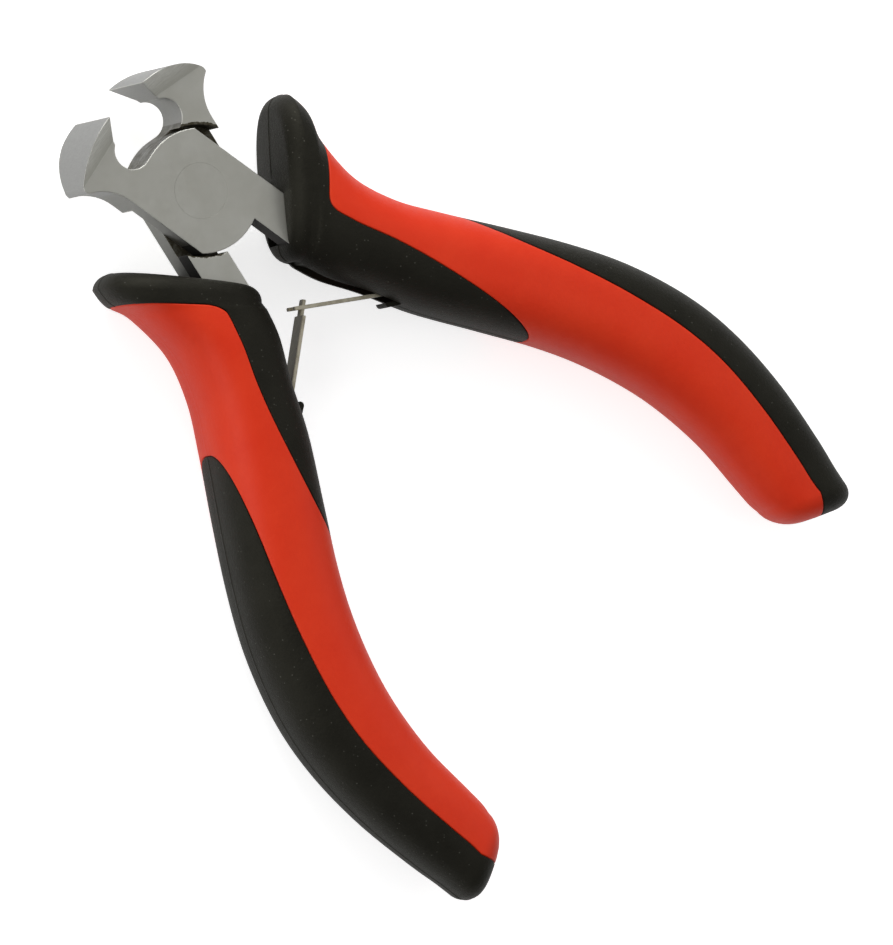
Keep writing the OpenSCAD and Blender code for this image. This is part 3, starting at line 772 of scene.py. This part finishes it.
for sideName, body, mirrored, setBack in handleHalves:
    fit = handle["seamFits"][sideName]
    inGuard = depthInside(baseVerts, baseNormals, guardPlan(fit))
    inBack = depthInside(baseVerts, baseNormals, backPlan(fit))
    marks = [np.maximum(inGuard, inBack), inGuard - inBack, baseRidges]
    data, faces = np.column_stack([baseVerts, baseNormals] + marks), baseFaces
    firstMark = data.shape[1] - len(marks)
    for level in handle["seamLevels"]:
        data, faces = cutAt(data, faces, firstMark, level)
    skin, normal = data[:, :3], data[:, 3:firstMark]
    black, which, ridge = data[:, firstMark:].T
    normal = normal / np.linalg.norm(normal, axis=1)[:, None]

    # the core sinks under the grips, with its visible edges rolled into the seam
    edge = handle["seamGap"]
    sunk = np.interp(black, [0, edge], [handle["seamRound"], handle["coreDepth"]])
    coreIn = np.where(black > 0, sunk, rolledOff(-black))
    coreIn = coreIn - np.where(black <= 0, handle["coreParting"] * ridge, 0)
    core = meshObject(sideName + "Core", skin - normal * coreIn[:, None], faces, coreRed)

    blackFaces = faces[(black[faces] >= edge - tiny).all(1)]
    outer = skin - normal * (rolledOff(black - edge) - ridge)[:, None]
    inner = skin - normal * handle["gripThick"]
    isGuard = (which[blackFaces] > 0).all(1)
    guard = meshObject(sideName + "Guard", *closedShell(outer, inner, blackFaces[isGuard]), gripBlack)
    back = meshObject(sideName + "Back", *closedShell(outer, inner, blackFaces[~isGuard]), gripBlack)

    tang = handle["tang"]
    cutters = [prism("tangSlot", tangPlan(), -tang["fit"], tang["thick"] + tang["fit"])]
    lip = pocketLip(setBack)
    applyBoolean(guard, lip, "UNION")
    cutters += pocketCutters(setBack)
    for piece in (core, guard):
        for cutter in cutters:
            applyBoolean(piece, cutter, "DIFFERENCE")
    for helper in cutters + [lip]:
        removeObject(helper)
    for piece, nodeName, slotName in ((core, "handle_core", "core_red"), (guard, "guard_grip", "grip_black"),
                                      (back, "back_grip", "grip_black")):
        placeHalf(piece, mirrored)
        finishSurface(piece, handle["sharpAngle"])
        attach(piece, body)
        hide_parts(sideName + "_" + nodeName)
    print(sideName, "handle:", [len(piece.data.polygons) for piece in (core, guard, back)], "faces")


def leafMesh(name, forked):
    length = leaf["forkLength"] if forked else leaf["tongueLength"]
    shoulder = length - (leaf["slotLength"] if forked else leaf["tongueSize"])
    half = leaf["width"] / 2
    inset = (leaf["slotWidth"] if forked else leaf["tongueWidth"]) / 2
    count = int((shoulder + leaf["tail"]) / leaf["step"])
    places = list(np.linspace(-leaf["tail"], shoulder, count + 1))
    places += list(np.linspace(shoulder, length, leaf["tipSteps"] + 1)[1:])
    rows = [-half, -inset, 0, inset, half]
    made = bmesh.new()
    grid = {}

    def corner(i, j, k):
        if (i, j, k) not in grid:
            grid[i, j, k] = made.verts.new((places[i] * mm, (k - 0.5) * leaf["thick"] * mm, rows[j] * mm))
        return grid[i, j, k]

    # past the shoulder only the fork's two prongs or the tongue go on
    solid = {(i, j) for i in range(len(places) - 1) for j in range(4)
             if places[i] < shoulder - tiny or ((j in (0, 3)) == forked)}
    for i, j in solid:
        for k in (0, 1):
            made.faces.new([corner(*c, k) for c in ((i, j), (i + 1, j), (i + 1, j + 1), (i, j + 1))])
        for near, (p, q) in (((i - 1, j), ((i, j), (i, j + 1))), ((i + 1, j), ((i + 1, j), (i + 1, j + 1))),
                             ((i, j - 1), ((i, j), (i + 1, j))), ((i, j + 1), ((i, j + 1), (i + 1, j + 1)))):
            if near not in solid:
                made.faces.new([corner(*p, 0), corner(*q, 0), corner(*q, 1), corner(*p, 1)])
    bmesh.ops.recalc_face_normals(made, faces=made.faces)
    sharp = [e for e in made.edges if len(e.link_faces) == 2 and e.calc_face_angle() > leaf["edgeAngle"]]
    bmesh.ops.bevel(made, geom=sharp, offset=leaf["edge"] * mm, segments=leaf["edgeSegments"],
                    affect="EDGES", clamp_overlap=True)
    return bmeshObject(name, made, springNickel)


for sideName, body, mirrored, setBack in handleHalves:
    strip = leafMesh(sideName + "Leaf", not mirrored)
    root = leafRoot(setBack)
    strip.data.transform(Matrix.Translation((root[0] * mm, root[1] * mm, handle["midZ"] * mm))
                         @ Matrix.Rotation(math.radians(leaf["angle"]), 4, "Z"))
    placeHalf(strip, mirrored)
    finishSurface(strip, leaf["sharpAngle"])
    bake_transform(strip)
    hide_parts(sideName + "_leaf_spring")
print("leaf springs done")


# Stage: pale floor, soft light from large panels, long lens at the photograph's angle
stage = {
    "floor": 1.6, "floorColour": (0.86, 0.86, 0.86, 1), "floorRough": 0.9, "floorGap": 0.05,
    "glow": 0.70, "mirrored": 0.30, "world": 0.19, "white": (1, 1, 1, 1),
}


def makeFloor():
    mesh = bpy.data.meshes.new("floor")
    half, low = stage["floor"], cadBox[0][2] - stage["floorGap"] * mm
    corners = [(-half, -half, low), (half, -half, low), (half, half, low), (-half, half, low)]
    mesh.from_pydata(corners, [], [(0, 1, 2, 3)])
    material, tree, shader = newMaterial("paleFloor")
    connect(tree, shader, {"Base Color": stage["floorColour"], "Roughness": stage["floorRough"],
                           "Specular IOR Level": 0.0})
    path = addNode(tree, "ShaderNodeLightPath").outputs
    mirrored = anyOf(tree, path["Is Glossy Ray"], path["Is Transmission Ray"])
    seen = anyOf(tree, spread(tree, mirrored, 0, 1, 0, stage["mirrored"]),
                 spread(tree, path["Is Camera Ray"], 0, 1, 0, stage["glow"]))
    glow = addNode(tree, "ShaderNodeEmission", {"Color": stage["white"], "Strength": seen})
    both = addNode(tree, "ShaderNodeAddShader", {0: shader.outputs[0], 1: glow.outputs[0]})
    connect(tree, tree.nodes["Material Output"], {"Surface": both.outputs[0]})
    addObject("floor", mesh, material)


def makeWorld():
    world = bpy.data.worlds.new("studio")
    scene.world = world
    world.use_nodes = True
    tree = world.node_tree
    path = addNode(tree, "ShaderNodeLightPath").outputs
    seen = anyOf(tree, path["Is Camera Ray"], path["Is Transmission Ray"])
    strength = spread(tree, seen, 0, 1, stage["world"], 1.0)
    connect(tree, tree.nodes["Background"], {"Color": stage["white"], "Strength": strength})


# The camera's turn, tilt and roll, the millimetres to a pixel, and the pixel of the joint's front face
camera = {
    "turn": 55.853, "tilt": 22.127, "roll": 10.51, "scale": 0.13142, "origin": (200.94, 190.71),
    "faceHeight": 7.0, "distance": 3.1, "size": (893, 945), "sensor": 36, "clipEnd": 20,
}


def makeCamera():
    turn, tilt, roll = (math.radians(camera[k]) for k in ("turn", "tilt", "roll"))
    upright = Vector((0, 0, 1))
    sideways = Vector((math.sin(turn), -math.cos(turn), 0))
    downhill = Vector((-math.cos(turn), -math.sin(turn), 0))
    towards = -math.sin(tilt) * sideways + math.cos(tilt) * upright
    level = math.cos(tilt) * sideways + math.sin(tilt) * upright
    right = math.cos(roll) * level + math.sin(roll) * downhill
    down = -math.sin(roll) * level + math.cos(roll) * downhill
    pixel = camera["scale"] * mm
    offset = [(camera["size"][k] / 2 - camera["origin"][k]) * pixel for k in (0, 1)]
    target = camera["faceHeight"] * mm * upright + offset[0] * right + offset[1] * down
    lens = bpy.data.cameras.new("camera")
    lens.sensor_width = camera["sensor"]
    lens.lens = camera["sensor"] * camera["distance"] / (camera["size"][1] * pixel)
    lens.clip_end = camera["clipEnd"]
    place = Matrix((right, -down, towards)).transposed().to_4x4()
    place.translation = target + camera["distance"] * towards
    eye = addObject("camera", lens)
    eye.matrix_world = place
    scene.camera = eye


lampAim = (0.005, -0.03, 0)
lamps = {
    "back": {"from": (0.50, 0.74, 0.42), "size": 0.8, "power": 7.2},
    "left": {"from": (-0.78, 0.45, 0.55), "size": 0.9, "power": 3.6},
    "key": {"from": (-0.13, 0.69, 0.85), "size": 0.8, "power": 1.8},
    "fill": {"from": (0.70, -0.50, 0.70), "size": 0.9, "power": 1.5},
}


def makeLamp(name, lamp):
    light = bpy.data.lights.new(name, "AREA")
    light.shape = "SQUARE"
    light.size = lamp["size"]
    light.energy = lamp["power"]
    panel = addObject(name, light)
    panel.location = Vector(lamp["from"]) + Vector(lampAim)
    panel.rotation_euler = (-Vector(lamp["from"])).to_track_quat("-Z", "Y").to_euler()


makeFloor()
makeWorld()
makeCamera()
for lampName, lamp in lamps.items():
    makeLamp(lampName, lamp)
scene.view_settings.view_transform = "Standard"
print("stage, camera and lights ready")

bpy.context.view_layer.update()
